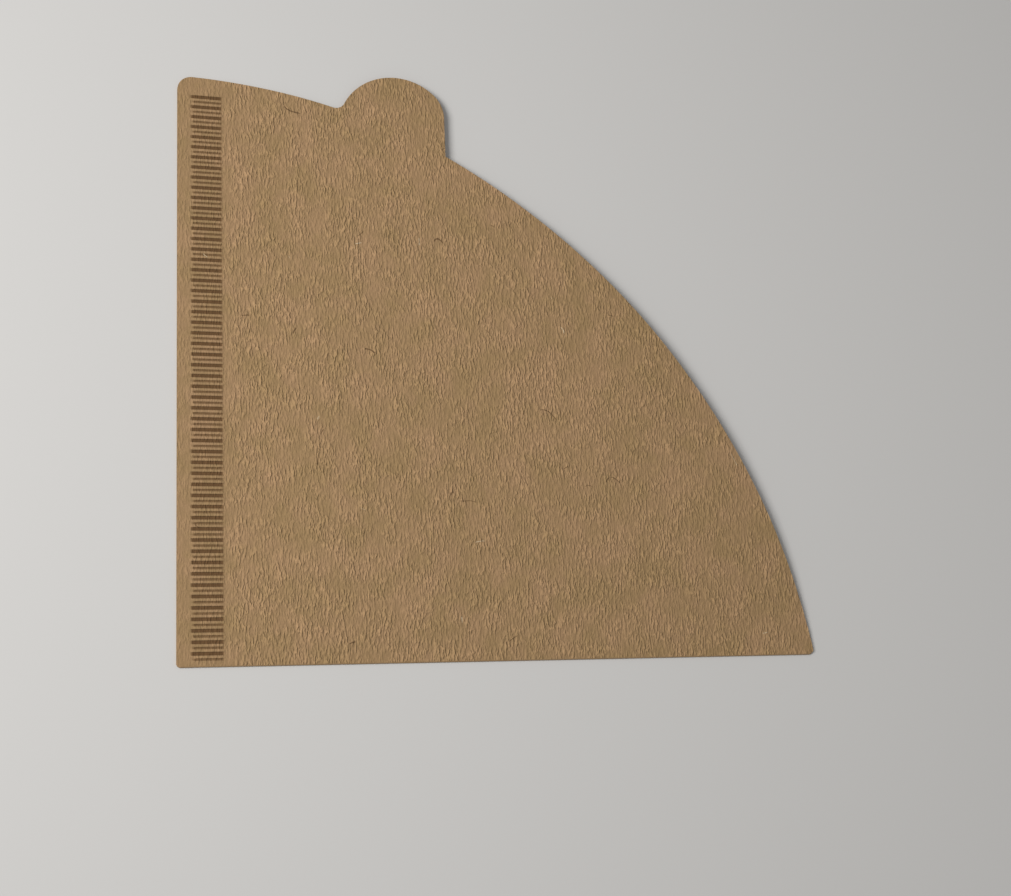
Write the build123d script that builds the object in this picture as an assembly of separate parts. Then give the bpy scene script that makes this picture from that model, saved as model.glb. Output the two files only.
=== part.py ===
from build123d import *
from math import asin, cos, floor, radians, sin, sqrt, tan
import os

# Cone-shaped coffee filter of unbleached paper, folded flat and lying on its back leaf.
# It is one sheet: folded once along the bottom edge, then both leaves are crimped together
# along the seam at the left. The mouth is open along the rim and the long arc, and the
# front leaf bows up from the back leaf like a very shallow cone that starts at the tip.
# All sizes are in millimetres. The outline is drawn from the outer corner of the sheet,
# with X along the fold and Y up the seam.

# Paper
paper_thickness = 0.23

# Seam, counted inwards from its cut edge
seam_margin = 3.0
crimp_width = 6.7
seam_land = 0.5

# Mouth outline, with the fold's length from the seam's cut edge to the mouth
fold_length = 145.6
rim_radius = 131.0
mouth_radius = 169.0
mouth_gap = 1.8
fold_lift_angle = 2.0
bow_peak_angle = 40.0

# Tab, centred on the rim at this angle from the seam's edge
tab_angle = 22.1
tab_radius = 13.3
tab_flank_trim = 1.8

# Corner radii in the flat outline
rim_corner_radius = 3.2
tip_corner_radius = 0.8
fold_corner_radius = 1.2
notch_radius = 2.2
tab_shoulder_radius = 7.5

# Crimped ridges, pressed through both leaves; two of them make one repeat
ridge_pitch = 1.187
broad_groove = 0.56
narrow_groove = 0.26
ridge_flank = 0.14
ridge_height = 0.24
ridge_press = 0.10
crimp_clear_of_rim = 4.0
crimp_clear_of_fold = 1.47

# Places worked out from the sizes above
folded_thickness = 2 * paper_thickness
seam_line = seam_margin + crimp_width + seam_land
tip = Vector(seam_line, paper_thickness)

tab_centre = Vector(rim_radius * sin(radians(tab_angle)), rim_radius * cos(radians(tab_angle)))
flank_x = tab_centre.X + tab_radius - tab_flank_trim
shoulder = Vector(flank_x, tab_centre.Y + sqrt(tab_radius**2 - (tab_radius - tab_flank_trim) ** 2))
tab_foot = Vector(flank_x, sqrt(rim_radius**2 - flank_x**2))

# The tab's arc crosses the rim one tab radius before the tab's centre
notch_turn = 2 * asin(tab_radius / (2 * rim_radius))
notch_angle = radians(tab_angle) - notch_turn
notch = Vector(rim_radius * sin(notch_angle), rim_radius * cos(notch_angle))

# The long arc runs from the tab's foot to the end of the fold
fold_end = Vector(fold_length, 0)
chord = fold_end - tab_foot
inwards = Vector(chord.Y, -chord.X).normalized()
arc_centre = (tab_foot + fold_end) * 0.5 + inwards * sqrt(mouth_radius**2 - (chord.length / 2) ** 2)

# The slant is measured from the tip to the mouth along the middle of the cone
middle = Vector(1, 1).normalized()
across = Vector(-1, 1).normalized()
centre_along = (arc_centre - tip).dot(middle)
centre_across = (arc_centre - tip).dot(across)
slant_length = centre_along + sqrt(mouth_radius**2 - centre_across**2)


def arc_between(start, end, centre, radius):
    """Arc of a circle about centre, the short way from start to end."""
    bulge = ((start + end) * 0.5 - centre).normalized() * radius
    return ThreePointArc(start, centre + bulge, end)


def sheet_outline():
    """Flat outline of the folded sheet, with its tab, its notch and its rounded corners."""
    tip_corner = Vector(0, 0)
    rim_corner = Vector(0, rim_radius)
    tab_top = tab_centre + Vector(0, tab_radius)
    edges = [
        Line(tip_corner, rim_corner),
        arc_between(rim_corner, notch, tip_corner, rim_radius),
        ThreePointArc(notch, tab_top, shoulder),
        Line(shoulder, tab_foot),
        arc_between(tab_foot, fold_end, arc_centre, mouth_radius),
        Line(fold_end, tip_corner),
    ]
    outline = make_face(edges)
    rounded = [
        (tip_corner, tip_corner_radius),
        (rim_corner, rim_corner_radius),
        (notch, notch_radius),
        (shoulder, tab_shoulder_radius),
        (fold_end, fold_corner_radius),
    ]
    for corner, radius in rounded:
        outline = fillet(outline.vertices().sort_by_distance(corner)[0], radius)
    return outline


def flat_leaves(outline):
    """Both leaves pressed together, with the fold's full round along the bottom edge."""
    rise = tab_centre.Y + tab_radius
    nose = Pos(paper_thickness, paper_thickness) * Circle(paper_thickness)
    web = Pos(paper_thickness, 0) * Rectangle(rise, folded_thickness, align=(Align.MIN, Align.MIN))
    folded = extrude(Plane.YZ * (nose + web), amount=fold_length)
    return folded & extrude(outline, amount=folded_thickness)


def pocket():
    """Space between the leaves: it opens like a flat cone from the tip to past the mouth."""
    reach = slant_length + tab_radius
    height = mouth_gap * reach / slant_length
    peak = reach * tan(radians(bow_peak_angle - 45))
    rise = tan(radians(fold_lift_angle))
    bow = Spline((-reach, 0), (peak, height), (reach, 0), tangents=[(1, rise), (1, 0)])
    base = Line((reach, 0), (-reach, 0))
    section_plane = Plane(origin=tip + middle * reach, x_dir=across, z_dir=middle)
    section = section_plane * make_face([bow, base])
    return Solid.make_loft([Vertex(tip), section.face().outer_wire()], ruled=True)


def crimped_strip(ridges):
    """Strip of the seam with its ridges, narrow and broad grooves by turns, hollow below."""
    strip_thickness = folded_thickness - ridge_press
    grooves = (narrow_groove, broad_groove)
    crest = ridge_pitch - sum(grooves) / 2 - 2 * ridge_flank
    wave = [(0, 0)]
    y = 0
    for ridge in range(ridges):
        for step, lift in (
            (grooves[ridge % 2], 0),
            (ridge_flank, ridge_height),
            (crest, ridge_height),
            (ridge_flank, 0),
        ):
            y = y + step
            wave.append((y, lift))
    wave.append((y + grooves[ridges % 2], 0))
    top = [(at, lift + strip_thickness) for at, lift in wave]
    section = make_face(Polyline(*wave, *reversed(top), close=True))
    strip = extrude(Plane.YZ * section, amount=crimp_width)
    return Pos(seam_margin, crimp_clear_of_fold, 0) * strip


def folded_filter():
    """The whole filter, standing on Z = 0 with the middle of its outline at the origin."""
    outline = sheet_outline()
    between_leaves = pocket()
    bowed = extrude(outline, amount=folded_thickness + 2 * mouth_gap)
    sheet = flat_leaves(outline) + (bowed & (Pos(0, 0, folded_thickness) * between_leaves))
    sheet = sheet - Pos(0, 0, paper_thickness) * between_leaves

    ridges = floor((rim_radius - crimp_clear_of_rim - crimp_clear_of_fold) / ridge_pitch)
    strip = crimped_strip(ridges)
    length = strip.bounding_box().size.Y
    window = Pos(seam_margin, crimp_clear_of_fold, 0) * Box(
        crimp_width, length, folded_thickness, align=(Align.MIN, Align.MIN, Align.MIN)
    )
    sheet = sheet - window + strip

    centre = outline.bounding_box().center()
    return Pos(-centre.X, -centre.Y, 0) * sheet


os.makedirs("parts", exist_ok=True)
filter_paper = folded_filter()
filter_paper.label = "filter_paper"
export_step(filter_paper, "parts/filter_paper.step")
print("slant length", round(slant_length, 1))
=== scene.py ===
"""Looks of a cone-shaped paper coffee filter that is folded flat.

The filter is one sheet of unbleached creped paper. It is folded along the bottom edge and
its two leaves are crimped together along the left edge. Lengths are in millimetres, drawn
from the sheet's outer corner with X along the fold and Y up the seam, and they are turned
to metres where a mesh or a node input is made.
"""

from __future__ import annotations

import logging
import math
from abc import ABC, abstractmethod
from collections.abc import Sequence
from dataclasses import dataclass, field
from enum import Enum
from typing import Any

import bpy
import numpy as np
from mathutils import Matrix, Vector
from mathutils.geometry import delaunay_2d_cdt

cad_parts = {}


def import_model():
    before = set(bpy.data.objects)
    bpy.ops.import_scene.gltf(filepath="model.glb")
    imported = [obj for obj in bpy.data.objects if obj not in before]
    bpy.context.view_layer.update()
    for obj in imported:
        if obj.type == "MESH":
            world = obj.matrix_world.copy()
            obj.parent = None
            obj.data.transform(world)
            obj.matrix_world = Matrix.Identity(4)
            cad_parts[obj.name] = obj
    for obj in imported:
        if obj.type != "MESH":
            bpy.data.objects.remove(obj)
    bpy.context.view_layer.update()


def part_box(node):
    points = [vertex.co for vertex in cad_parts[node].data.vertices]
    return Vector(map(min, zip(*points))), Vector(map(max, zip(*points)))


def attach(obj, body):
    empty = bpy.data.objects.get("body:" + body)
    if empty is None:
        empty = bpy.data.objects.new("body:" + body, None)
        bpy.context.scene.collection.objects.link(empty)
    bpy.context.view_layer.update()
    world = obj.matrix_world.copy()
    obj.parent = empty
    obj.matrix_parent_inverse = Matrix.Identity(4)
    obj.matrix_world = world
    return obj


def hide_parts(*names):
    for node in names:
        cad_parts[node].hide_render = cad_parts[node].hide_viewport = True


LOG = logging.getLogger("filter")

MM = 0.001
BODY = "root"
NODE = "filter_paper"

# Sockets of the Mix node when it mixes colours, which share their names with others
MIX_FACTOR = 0
MIX_A = 6
MIX_B = 7
MIX_RESULT = 2


def add_node(
    tree: bpy.types.NodeTree,
    kind: str,
    inputs: Sequence[Any] | dict[int | str, Any] = (),
    output: int | str = 0,
    **settings: Any,
) -> bpy.types.NodeSocket | None:
    """Adds one node to a tree.

    Args:
        tree: The tree that gets the node.
        kind: The node's type name.
        inputs: Values, or the sockets that feed the inputs, in order or by name or number.
        output: The output to return, by name or number.
        settings: The node's own settings, by name.

    Returns:
        The node's output socket, or None for a node that ends a tree.
    """
    node = tree.nodes.new(kind)
    for name, value in settings.items():
        setattr(node, name, value)
    for key, value in inputs.items() if isinstance(inputs, dict) else enumerate(inputs):
        if isinstance(value, bpy.types.NodeSocket):
            tree.links.new(value, node.inputs[key])
        else:
            node.inputs[key].default_value = value
    return node.outputs[output] if node.outputs else None


def linear(colour: str) -> tuple[float, float, float, float]:
    """Turns an sRGB hex colour into linear RGBA.

    Args:
        colour: Six hex digits after a hash sign.

    Returns:
        Red, green and blue from 0 to 1, and an alpha of 1.
    """
    channels = []
    for start in (1, 3, 5):
        value = int(colour[start : start + 2], 16) / 255
        channels.append(value / 12.92 if value <= 0.04045 else ((value + 0.055) / 1.055) ** 2.4)
    return channels[0], channels[1], channels[2], 1.0


def cleared_tree(owner: bpy.types.Material | bpy.types.World) -> bpy.types.NodeTree:
    """Gives a material or a world an empty node tree.

    Args:
        owner: The material or the world.

    Returns:
        Its tree.
    """
    owner.use_nodes = True
    owner.node_tree.nodes.clear()
    return owner.node_tree


def add_object(name: str, data: bpy.types.ID) -> bpy.types.Object:
    """Puts an object in the scene.

    Args:
        name: The object's name.
        data: Its mesh, lamp or lens.

    Returns:
        The object.
    """
    added = bpy.data.objects.new(name, data)
    bpy.context.collection.objects.link(added)
    return added


def smooth_step(value: np.ndarray, low: float, high: float) -> np.ndarray:
    """Rises smoothly from 0 to 1 as value goes from low to high.

    Args:
        value: The values to map.
        low: Where the result is 0.
        high: Where the result is 1.

    Returns:
        The mapped values.
    """
    share = np.clip((value - low) / (high - low), 0.0, 1.0)
    return share * share * (3.0 - 2.0 * share)


def straight_walk(start: np.ndarray, end: np.ndarray, spacing: float) -> np.ndarray:
    """Walks along a straight line.

    Args:
        start: Where the walk starts.
        end: Where it ends.
        spacing: Greatest distance between two points.

    Returns:
        Points from start up to, but not at, end, one row for each.
    """
    count = max(1, math.ceil(np.linalg.norm(end - start) / spacing))
    share = np.arange(count)[:, None] / count
    return start + (end - start) * share


class Edge(ABC):
    """An edge of the outline. Distances from it are positive inside the sheet."""

    @abstractmethod
    def inward(self, place: np.ndarray) -> np.ndarray:
        """Unit vector from the edge into the sheet, at a place."""

    @abstractmethod
    def gap(self, place: np.ndarray) -> float:
        """Distance of a place from the edge."""

    @abstractmethod
    def walk(self, start: np.ndarray, end: np.ndarray, spacing: float) -> np.ndarray:
        """Walks along the edge.

        Args:
            start: A place on the edge.
            end: Another one.
            spacing: Greatest distance between two points.

        Returns:
            Points from start up to, but not at, end, one row for each.
        """

    def foot(self, place: np.ndarray) -> np.ndarray:
        """Nearest point of the edge to a place."""
        return place - self.inward(place) * self.gap(place)


@dataclass(frozen=True)
class Straight(Edge):
    """A straight edge of the outline, with the sheet on its left.

    Attributes:
        point: A point on the edge.
        heading: Unit vector along the edge.
    """

    point: np.ndarray
    heading: np.ndarray

    def inward(self, place: np.ndarray) -> np.ndarray:
        """Unit vector from the edge into the sheet, which is the same at every place."""
        return np.array([-self.heading[1], self.heading[0]])

    def gap(self, place: np.ndarray) -> float:
        """Distance of a place from the edge."""
        return float(self.inward(place) @ (place - self.point))

    def walk(self, start: np.ndarray, end: np.ndarray, spacing: float) -> np.ndarray:
        """Walks along the edge."""
        return straight_walk(start, end, spacing)


@dataclass(frozen=True)
class Round(Edge):
    """A round edge of the outline, less than half a turn, with the sheet towards its centre.

    Attributes:
        centre: The circle's centre.
        radius: The circle's radius.
    """

    centre: np.ndarray
    radius: float

    def inward(self, place: np.ndarray) -> np.ndarray:
        """Unit vector from a place towards the circle's centre."""
        to_centre = self.centre - place
        return to_centre / np.linalg.norm(to_centre)

    def gap(self, place: np.ndarray) -> float:
        """Distance of a place from the edge."""
        return self.radius - float(np.linalg.norm(place - self.centre))

    def walk(self, start: np.ndarray, end: np.ndarray, spacing: float) -> np.ndarray:
        """Walks along the edge, the short way.

        Args:
            start: A place on the edge.
            end: Another one.
            spacing: Greatest distance between two points.

        Returns:
            Points from start up to, but not at, end, one row for each.
        """
        first = math.atan2(*(start - self.centre)[::-1])
        last = math.atan2(*(end - self.centre)[::-1])
        turn = (last - first + math.pi) % (2 * math.pi) - math.pi
        count = max(1, math.ceil(abs(turn) * self.radius / spacing))
        angles = first + turn * np.arange(count) / count
        return self.centre + self.radius * np.stack([np.cos(angles), np.sin(angles)], axis=1)


def meet(one: Edge, other: Edge, near: np.ndarray, inset: float, steps: int = 20) -> np.ndarray:
    """Finds the place that lies as far inside one edge as inside another.

    Args:
        one: The first edge.
        other: The second edge.
        near: Where to start looking.
        inset: The distance inside both edges, or outside them if it is negative.
        steps: Number of steps of the search.

    Returns:
        The place.
    """
    place = near
    for _ in range(steps):
        miss = np.array([one.gap(place) - inset, other.gap(place) - inset])
        slopes = np.array([one.inward(place), other.inward(place)])
        place = place - np.linalg.solve(slopes, miss)
    return place


@dataclass(frozen=True)
class FoldedShape:
    """Sizes and outline of the folded sheet, as it was cut and pressed.

    Attributes:
        thickness: Thickness of one leaf.
        seam_margin: Plain paper between the seam's cut edge and the ridges.
        crimp_width: Width of the band of ridges.
        seam_land: Flat paper between the ridges and the line where the leaves part.
        fold_length: Length of the fold, from the seam's cut edge to the mouth.
        rim_radius: Radius of the rim beside the seam, about the outer corner.
        mouth_radius: Radius of the long arc of the mouth.
        mouth_gap: How far the front leaf stands off the back leaf at the mouth.
        fold_lift: Angle at which the front leaf leaves the fold, in degrees.
        bow_peak: Angle from the fold to the highest ray of the front leaf, in degrees.
        tab_angle: Angle from the seam's edge to the tab's centre, in degrees.
        tab_radius: Radius of the pull tab.
        tab_flank_trim: How much the tab's straight flank takes off its circle.
        rim_corner: Radius of the corner where rim and seam meet.
        tip_corner: Radius of the corner where seam and fold meet.
        fold_corner: Radius of the corner where fold and mouth meet.
        notch_round: Radius in the notch between rim and tab.
        shoulder_round: Radius between the tab's circle and its straight flank.
    """

    thickness: float = 0.23
    seam_margin: float = 3.0
    crimp_width: float = 6.7
    seam_land: float = 0.5
    fold_length: float = 145.6
    rim_radius: float = 131.0
    mouth_radius: float = 169.0
    mouth_gap: float = 1.8
    fold_lift: float = 2.0
    bow_peak: float = 40.0
    tab_angle: float = 22.1
    tab_radius: float = 13.3
    tab_flank_trim: float = 1.8
    rim_corner: float = 3.2
    tip_corner: float = 0.8
    fold_corner: float = 1.2
    notch_round: float = 2.2
    shoulder_round: float = 7.5

    @property
    def tip(self) -> np.ndarray:
        """The cone's tip, where the fold's crease meets the line where the leaves part."""
        return np.array([self.seam_margin + self.crimp_width + self.seam_land, self.thickness])

    @property
    def extent(self) -> tuple[float, float]:
        """A corner beyond the whole outline, opposite the sheet's outer corner."""
        return self.fold_length, self.rim_radius + self.tab_radius

    def edges(self) -> dict[str, Edge]:
        """The outline's edges, anticlockwise from the fold.

        Returns:
            Each edge by its name.
        """
        angle = math.radians(self.tab_angle)
        tab_centre = self.rim_radius * np.array([math.sin(angle), math.cos(angle)])
        flank = tab_centre[0] + self.tab_radius - self.tab_flank_trim
        foot = np.array([flank, math.sqrt(self.rim_radius**2 - flank**2)])
        chord = np.array([self.fold_length, 0.0]) - foot
        length = np.linalg.norm(chord)
        inwards = np.array([chord[1], -chord[0]]) / length
        reach = math.sqrt(self.mouth_radius**2 - (length / 2) ** 2)
        return {
            "fold": Straight(np.zeros(2), np.array([1.0, 0.0])),
            "mouth": Round(foot + chord / 2 + inwards * reach, self.mouth_radius),
            "flank": Straight(foot, np.array([0.0, 1.0])),
            "tab": Round(tab_centre, self.tab_radius),
            "rim": Round(np.zeros(2), self.rim_radius),
            "seam": Straight(np.zeros(2), np.array([0.0, -1.0])),
        }

    def outline(self, spacing: float, corner_spacing: float) -> np.ndarray:
        """Walks round the outline, anticlockwise from the tip's corner.

        Args:
            spacing: Distance between points on the long edges.
            corner_spacing: Distance between points in the rounded corners.

        Returns:
            One row for each point.
        """
        edges = self.edges()
        tab = edges["tab"]
        # The search for the tab's two corners starts on either side of it, over its middle
        near_flank = tab.centre + self.tab_radius * np.array([0.9, 0.4])
        near_rim = tab.centre + self.tab_radius * np.array([-0.9, 0.4])
        corners = [
            ("seam", "fold", np.zeros(2), self.tip_corner),
            ("fold", "mouth", np.array([self.fold_length, 0.0]), self.fold_corner),
            ("mouth", "flank", edges["flank"].point, 0.0),
            ("flank", "tab", near_flank, self.shoulder_round),
            ("tab", "rim", near_rim, -self.notch_round),
            ("rim", "seam", np.array([0.0, self.rim_radius]), self.rim_corner),
        ]
        arcs = []
        for before, after, near, radius in corners:
            centre = meet(edges[before], edges[after], near, radius)
            start = edges[before].foot(centre)
            end = edges[after].foot(centre)
            arcs.append((Round(centre, abs(radius)), start, end))
        walk = []
        for number, (corner, start, end) in enumerate(arcs):
            if corner.radius > 0:
                walk.append(corner.walk(start, end, corner_spacing))
            following = arcs[(number + 1) % len(arcs)][1]
            walk.append(edges[corners[number][1]].walk(end, following, spacing))
        return np.concatenate(walk)

    def bow(self, places: np.ndarray) -> np.ndarray:
        """How far the front leaf stands off the back leaf: a flat cone with its tip at the tip.

        Args:
            places: Points in the plane of the sheet.

        Returns:
            The height for each point, 0 beyond the fold's crease and the parting line.
        """
        offset = places - self.tip
        along = (offset[:, 0] + offset[:, 1]) / math.sqrt(2)
        across = (offset[:, 1] - offset[:, 0]) / math.sqrt(2)
        share = np.divide(across, along, out=np.ones(len(along)), where=along > 0)
        peak = math.tan(math.radians(self.bow_peak - 45))
        mouth = self.edges()["mouth"]
        centre = mouth.centre - self.tip
        along_centre = centre.sum() / math.sqrt(2)
        across_centre = (centre[1] - centre[0]) / math.sqrt(2)
        slant = along_centre + math.sqrt(self.mouth_radius**2 - across_centre**2)
        height = self.mouth_gap / slant
        lift = math.tan(math.radians(self.fold_lift))
        near, far = peak + 1, 1 - peak
        bend = 3 * height * (1 / near**2 - 1 / far**2) - lift / near
        peak_slope = bend / (2 / near + 2 / far)
        left = hermite((share + 1) / near, 0.0, height, lift * near, peak_slope * near)
        right = hermite((share - peak) / far, height, 0.0, peak_slope * far, 0.0)
        raised = np.where(share < peak, left, right)
        return np.where(np.abs(share) < 1, np.maximum(raised, 0.0), 0.0) * np.maximum(along, 0.0)


def hermite(
    share: np.ndarray, start: float, end: float, start_slope: float, end_slope: float
) -> np.ndarray:
    """Cubic curve between two heights with a slope at each end.

    Args:
        share: Place along the curve, 0 at its start and 1 at its end.
        start: Height at the start.
        end: Height at the end.
        start_slope: Rise per whole length at the start.
        end_slope: Rise per whole length at the end.

    Returns:
        The heights.
    """
    square = share * share
    cube = square * share
    return (
        (2 * cube - 3 * square + 1) * start
        + (cube - 2 * square + share) * start_slope
        + (3 * square - 2 * cube) * end
        + (cube - square) * end_slope
    )


@dataclass(frozen=True)
class Crimps:
    """The ridges that hold the leaves together, with a narrow and a broad groove by turns.

    Attributes:
        pitch: Distance from groove to groove.
        broad_groove: Floor width of the broad groove.
        narrow_groove: Floor width of the narrow groove.
        flank: Width of a ridge's sloping side.
        height: Height of a ridge over its groove.
        press: How much the band is pressed thinner than two leaves.
        clear_of_rim: Plain paper between the last groove and the rim.
        clear_of_fold: Plain paper between the first groove and the fold.
        columns: Steps of the mesh across the band.
    """

    pitch: float = 1.187
    broad_groove: float = 0.56
    narrow_groove: float = 0.26
    flank: float = 0.14
    height: float = 0.24
    press: float = 0.10
    clear_of_rim: float = 4.0
    clear_of_fold: float = 1.47
    columns: int = 16

    def count(self, rim_radius: float) -> int:
        """Number of ridges that fit up the seam."""
        return math.floor((rim_radius - self.clear_of_rim - self.clear_of_fold) / self.pitch)

    def first_centre(self) -> float:
        """Distance from the fold to the middle of the first groove, a narrow one."""
        return self.clear_of_fold + self.narrow_groove / 2

    def points(self, start: float, end: float, ridges: int, coarse: int = 1) -> np.ndarray:
        """Points of the mesh in the band, in rows along the foot and the top of each flank.

        Args:
            start: Where the band starts.
            end: Where the band ends.
            ridges: Number of ridges.
            coarse: Leaves out columns, so that only one in so many stays.

        Returns:
            One row for each point.
        """
        step = (end - start) / self.columns
        columns = start + step * (np.arange(self.columns + 2) - 0.5)
        kept = np.arange(len(columns)) % coarse == 0
        # The columns along the band's two edges always stay
        kept[[0, 1, 2, -2, -1]] = True
        rows = []
        for number in range(ridges + 1):
            centre = self.first_centre() + number * self.pitch
            half = (self.broad_groove if number % 2 else self.narrow_groove) / 2
            rows += [centre - half - self.flank, centre - half, centre, centre + half]
            rows += [centre + half + self.flank, centre + self.pitch / 2]
        x, y = np.meshgrid(columns[kept], rows[:-1])
        return np.stack([x.ravel(), y.ravel()], axis=1)


@dataclass(frozen=True)
class Crepe:
    """The pattern of fine wrinkles that creping leaves: short, raised and up the sheet.

    Attributes:
        width: Width of a wrinkle with the flat paper beside it, in millimetres.
        length: Length of a wrinkle, in millimetres.
        flat: Value of the wrinkles' noise up to which the paper stays flat.
        crown: Value of that noise at which a wrinkle has its full height.
        bend: How much the wrinkles bend.
        patch: Size of the patches with stronger and fainter wrinkles, in millimetres.
        patch_range: Values of the patches' noise where the wrinkles are faintest and strongest.
        smooth_patch: Strength of the wrinkles in the faintest patches.
        seed: Where the pattern starts.
    """

    width: float = 0.42
    length: float = 1.3
    flat: float = 0.32
    crown: float = 0.74
    bend: float = 0.3
    patch: float = 4.0
    patch_range: tuple[float, float] = (0.35, 0.6)
    smooth_patch: float = 0.35
    seed: float = 7.3

    @property
    def size(self) -> Vector:
        """A wrinkle's size in X and Y, in metres."""
        return Vector((self.width * MM, self.length * MM, 1.0))

    @property
    def start(self) -> Vector:
        """Where the pattern starts, along Z."""
        return Vector((0.0, 0.0, self.seed))

    def add(
        self, tree: bpy.types.NodeTree, place: bpy.types.NodeSocket, size: Any, start: Any
    ) -> bpy.types.NodeSocket:
        """Adds the pattern to a tree.

        Args:
            tree: The tree, of a material or of Geometry Nodes.
            place: The socket with the place on the sheet.
            size: A wrinkle's size as a vector or its socket.
            start: Where the pattern starts, as a vector or its socket.

        Returns:
            The socket with the wrinkles' height, from 0 to 1.
        """
        lattice = add_node(tree, "ShaderNodeVectorMath", (place, size), operation="DIVIDE")
        moved = add_node(tree, "ShaderNodeVectorMath", (lattice, start), operation="ADD")
        streaks = {"Vector": moved, "Scale": 1.0, "Detail": 1.0, "Roughness": 0.6}
        noise = add_node(tree, "ShaderNodeTexNoise", streaks | {"Distortion": self.bend})
        rise = (noise, self.flat, self.crown)
        wrinkles = add_node(tree, "ShaderNodeMapRange", rise, interpolation_type="SMOOTHSTEP")
        patches = {"Vector": place, "Scale": 1 / (self.patch * MM), "Detail": 1.0}
        patch = add_node(tree, "ShaderNodeTexNoise", patches)
        rise = (patch, *self.patch_range, self.smooth_patch, 1.0)
        strength = add_node(tree, "ShaderNodeMapRange", rise)
        return add_node(tree, "ShaderNodeMath", (wrinkles, strength), operation="MULTIPLY")


@dataclass(frozen=True)
class Grid:
    """Staggered points inside one face of the sheet.

    Attributes:
        across: Spacing along the fold.
        up: Spacing along the seam.
    """

    across: float
    up: float

    @property
    def squeeze(self) -> float:
        """How much longer than wide the grid's triangles are."""
        return self.up / self.across

    def points(self, high: tuple[float, float]) -> np.ndarray:
        """Points of the grid from the sheet's corner to another corner.

        Args:
            high: The other corner.

        Returns:
            One row for each point.
        """
        across = np.arange(self.across / 2, high[0], self.across)
        up = np.arange(self.up / 2, high[1], self.up)
        x, y = np.meshgrid(across, up)
        x[1::2] += self.across / 2
        return np.stack([x.ravel(), y.ravel()], axis=1)


def inside(points: np.ndarray, loop: np.ndarray, clearance: float) -> np.ndarray:
    """Keeps the points that lie inside a loop and clear of it.

    Args:
        points: The points to sift.
        loop: The loop's corners in order.
        clearance: Least distance from the loop.

    Returns:
        The points that are kept.
    """
    crossings = np.zeros(len(points), dtype=bool)
    nearest = np.full(len(points), np.inf)
    for start, end in zip(loop, np.roll(loop, -1, axis=0)):
        step = end - start
        offset = points - start
        share = np.clip(offset @ step / (step @ step), 0.0, 1.0)
        away = offset - share[:, None] * step
        nearest = np.minimum(nearest, (away * away).sum(axis=1))
        if start[1] != end[1]:
            between = (points[:, 1] < start[1]) != (points[:, 1] < end[1])
            crossing = start[0] + (points[:, 1] - start[1]) * step[0] / step[1]
            crossings ^= between & (points[:, 0] < crossing)
    return points[crossings & (nearest > clearance**2)]


def inward_normals(loop: np.ndarray) -> np.ndarray:
    """Finds the way into the sheet at each point of a loop.

    Args:
        loop: The loop's points, anticlockwise.

    Returns:
        One unit vector for each point.
    """
    tangent = np.roll(loop, -1, axis=0) - np.roll(loop, 1, axis=0)
    tangent /= np.linalg.norm(tangent, axis=1)[:, None]
    return np.stack([-tangent[:, 1], tangent[:, 0]], axis=1)


def with_crossing(
    loop: np.ndarray, axis: int, value: float, side: np.ndarray
) -> tuple[np.ndarray, int]:
    """Adds a point to a loop where it crosses a line.

    Args:
        loop: The loop's points.
        axis: 0 for a line at one X, 1 for a line at one Y.
        value: The line's place on that axis.
        side: Which points belong to the stretch that crosses the line.

    Returns:
        The loop with its new point, and that point's number.
    """
    following = np.roll(loop, -1, axis=0)
    crosses = (loop[:, axis] < value) != (following[:, axis] < value)
    number = int(np.flatnonzero(crosses & side)[0])
    start, end = loop[number], following[number]
    place = start + (end - start) * (value - start[axis]) / (end[axis] - start[axis])
    return np.insert(loop, number + 1, place, axis=0), number + 1


def fill(
    loop: np.ndarray, inner: np.ndarray, squeeze: float = 1.0, same: float = 1e-7
) -> np.ndarray:
    """Joins a loop and the points in it with triangles.

    Args:
        loop: The loop's corners, anticlockwise.
        inner: The points inside it.
        squeeze: How much longer than wide the triangles are along Y.
        same: Distance at which two points would count as one.

    Returns:
        Three point numbers for each triangle, anticlockwise, the loop's points first.
    """
    points = np.concatenate([loop, inner]) * np.array([squeeze, 1.0])
    ring = list(range(len(loop)))
    inside_loop = 1
    corners = [Vector(point) for point in points.tolist()]
    found = delaunay_2d_cdt(corners, [], [ring], inside_loop, same)
    if len(found[0]) != len(points):
        raise ValueError("points of the sheet fell together")
    faces = np.array(found[2])
    first, second, third = (points[faces[:, corner]] for corner in range(3))
    turn = np.cross(second - first, third - first)
    faces[turn < 0] = faces[turn < 0][:, ::-1]
    return faces


class Mark(Enum):
    """The named attributes of the sheet's mesh.

    The first three are given to it: its front leaf, that leaf's outer face, and its cut edges.
    The last two come from the relief: how dense it is pressed, which also darkens the grooves
    as painted shade, and how much crepe is left.
    """

    FRONT = "front"
    SKIN = "skin"
    CUT_EDGE = "cut_edge"
    PRESSED_AND_SHADE = "pressed"
    CREPED = "creped"


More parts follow.
